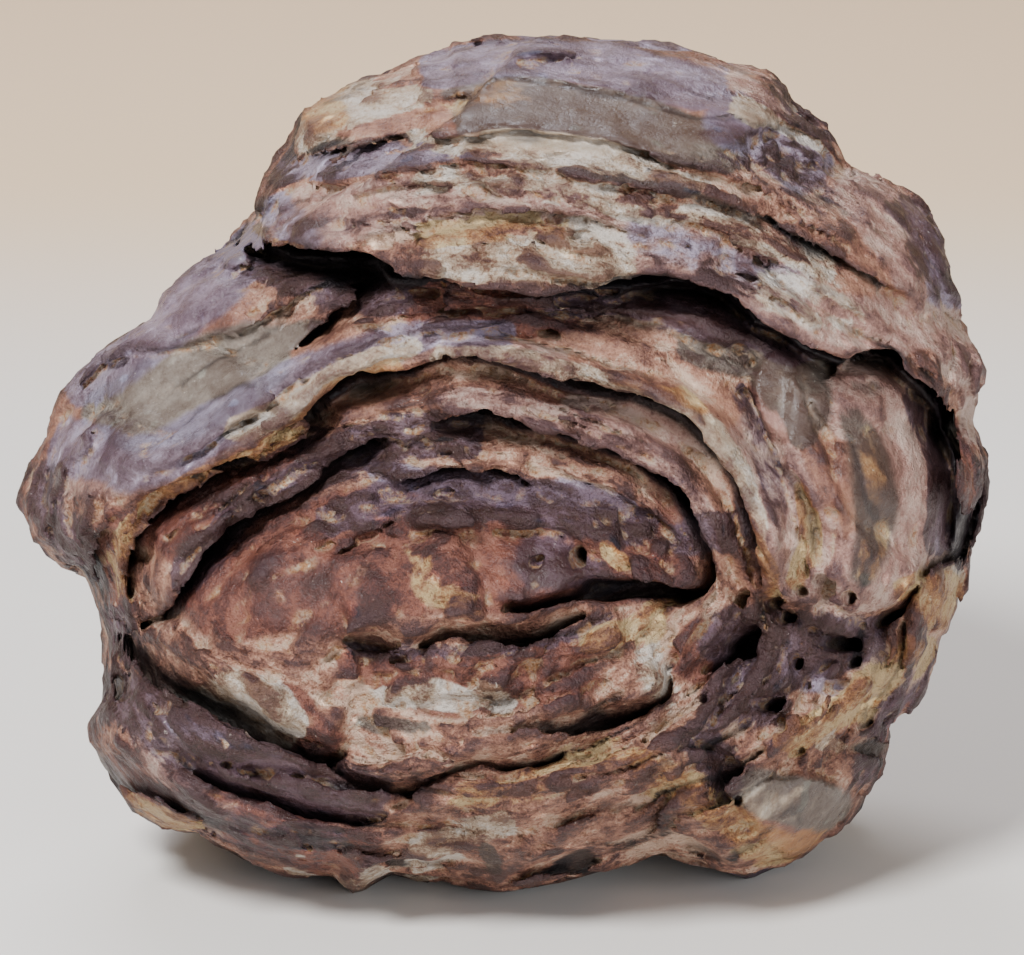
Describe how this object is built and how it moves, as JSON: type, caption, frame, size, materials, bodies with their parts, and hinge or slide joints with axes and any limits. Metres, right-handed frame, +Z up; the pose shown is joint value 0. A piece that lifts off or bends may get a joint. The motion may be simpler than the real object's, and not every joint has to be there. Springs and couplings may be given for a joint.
{
  "type": "flint nodule",
  "caption": "Weathered flint nodule of nested onion-like shells, broken open at the front under an overhanging layered cap, with deep crevices between the shells.",
  "frame": {"origin": "middle of the bounding box in X and Y, on the resting plane", "axes": "+Z up, the broken layered face looks towards -Y, +X to the right as seen from the front"},
  "size_m": [0.1256, 0.1013, 0.1099],
  "materials": {
    "flint": "rough stone: red-brown, cream and dark purple-brown crust in layers, with smooth olive-grey flint where it is freshly broken"
  },
  "bodies": {
    "root": {"nodule": "flint"}
  },
  "joints": []
}
